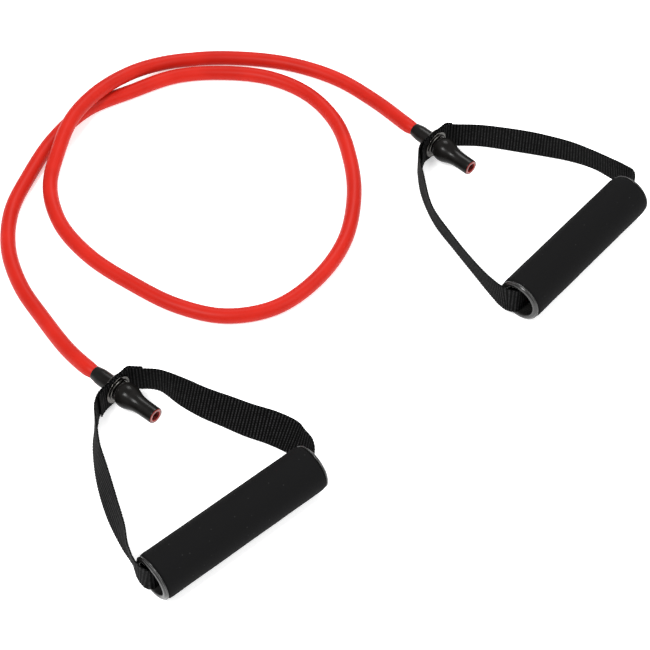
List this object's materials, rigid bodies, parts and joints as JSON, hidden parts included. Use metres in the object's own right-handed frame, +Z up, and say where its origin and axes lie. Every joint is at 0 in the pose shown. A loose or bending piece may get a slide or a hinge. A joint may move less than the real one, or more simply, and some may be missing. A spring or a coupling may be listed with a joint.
{
  "type": "resistance tube with handles",
  "caption": "Elastic tube with a webbing and foam handle at each end, held by an eyelet over a sleeved stop, lying in a loose loop.",
  "frame": {"origin": "on the floor, midway under the box round the two handles", "axes": "+Z up; the part lies flat on the floor, the near handle towards -Y and the far handle towards +Y"},
  "size_m": [0.505, 0.5311, 0.0361],
  "materials": {
    "tube_latex": "satin red latex",
    "sleeve_rubber": "glossy black rubber sleeve",
    "ball_plastic": "smooth pale plastic",
    "eyelet_metal": "dull nickel plate",
    "webbing": "ribbed black woven webbing",
    "core_plastic": "plain black plastic",
    "ring_plastic": "satin dark grey plastic",
    "grip_foam": "fine-celled black foam"
  },
  "bodies": {
    "tube_and_sleeves": {"tube": "tube_latex", "left_sleeve": "sleeve_rubber", "left_tube_end": "tube_latex", "left_stop_ball": "ball_plastic", "right_sleeve": "sleeve_rubber", "right_tube_end": "tube_latex", "right_stop_ball": "ball_plastic"},
    "left_eyelet": {"left_eyelet": "eyelet_metal", "left_eyelet_washer": "eyelet_metal"},
    "left_strap": {"left_strap": "webbing"},
    "left_grip": {"left_grip_core": "core_plastic", "left_end_ring_1": "ring_plastic", "left_end_ring_2": "ring_plastic", "left_foam_grip": "grip_foam"},
    "right_eyelet": {"right_eyelet": "eyelet_metal", "right_eyelet_washer": "eyelet_metal"},
    "right_strap": {"right_strap": "webbing"},
    "right_grip": {"right_grip_core": "core_plastic", "right_end_ring_1": "ring_plastic", "right_end_ring_2": "ring_plastic", "right_foam_grip": "grip_foam"}
  },
  "joints": [
    {"name": "left_eyelet_slide", "type": "slide", "parent": "tube_and_sleeves", "child": "left_eyelet", "axis": [0.766, -0.6428, 0], "range_m": [-0.012, 0]},
    {"name": "left_strap_turn", "type": "hinge", "parent": "left_eyelet", "child": "left_strap", "pos_m": [-0.194, -0.043, 0.0126], "axis": [0.766, -0.6428, 0], "continuous": true},
    {"name": "left_grip_spin", "type": "hinge", "parent": "left_strap", "child": "left_grip", "pos_m": [-0.105, -0.161, 0.018], "axis": [0.7632, 0.6461, 0], "continuous": true},
    {"name": "right_eyelet_slide", "type": "slide", "parent": "tube_and_sleeves", "child": "right_eyelet", "axis": [0.7193, -0.6947, 0], "range_m": [-0.012, 0]},
    {"name": "right_strap_turn", "type": "hinge", "parent": "right_eyelet", "child": "right_strap", "pos_m": [0.046, 0.201, 0.0126], "axis": [0.7193, -0.6947, 0], "continuous": true},
    {"name": "right_grip_spin", "type": "hinge", "parent": "right_strap", "child": "right_grip", "pos_m": [0.1499, 0.0875, 0.018], "axis": [0.6554, 0.7553, 0], "continuous": true}
  ]
}
